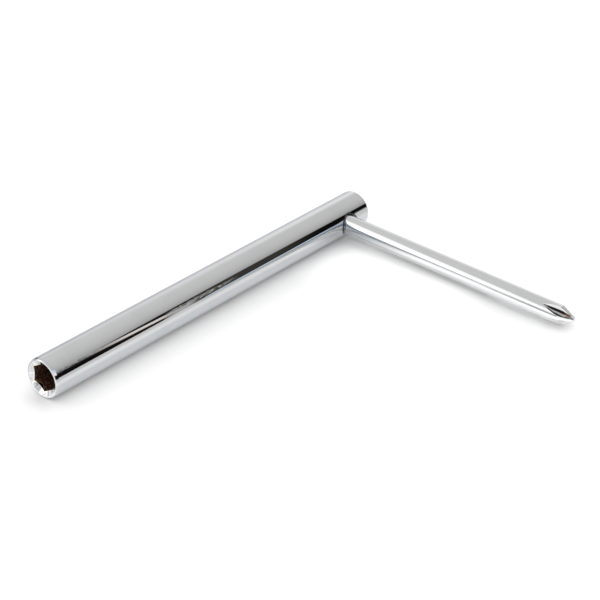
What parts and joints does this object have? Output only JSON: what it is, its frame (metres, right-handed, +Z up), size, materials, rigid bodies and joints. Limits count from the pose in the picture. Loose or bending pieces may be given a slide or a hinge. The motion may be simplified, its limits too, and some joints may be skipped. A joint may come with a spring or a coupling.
{
  "type": "truss rod wrench",
  "caption": "Round tube wrench with a hex socket in its mouth and a cross bar that slides in a hole near its rear end; the bar's free end is a cross-tip screwdriver.",
  "frame": {"origin": "centre of the tube's mouth, where the hex socket opens", "axes": "+Y along the tube from its mouth to its rear end, +X the way the bar points, tilted 2 degrees down so that tube and tip lie on one table, +Z up"},
  "size_m": [0.0803, 0.115, 0.01],
  "materials": {
    "tube": "polished",
    "bar": "polished"
  },
  "bodies": {
    "tube": {"socket_tube": "tube"},
    "bar": {"driver_bar": "bar"}
  },
  "joints": [
    {"name": "bar_slide", "type": "slide", "parent": "tube", "child": "bar", "axis": [0.9994, 0, -0.0349], "range_m": [-0.066, 0.008]}
  ]
}
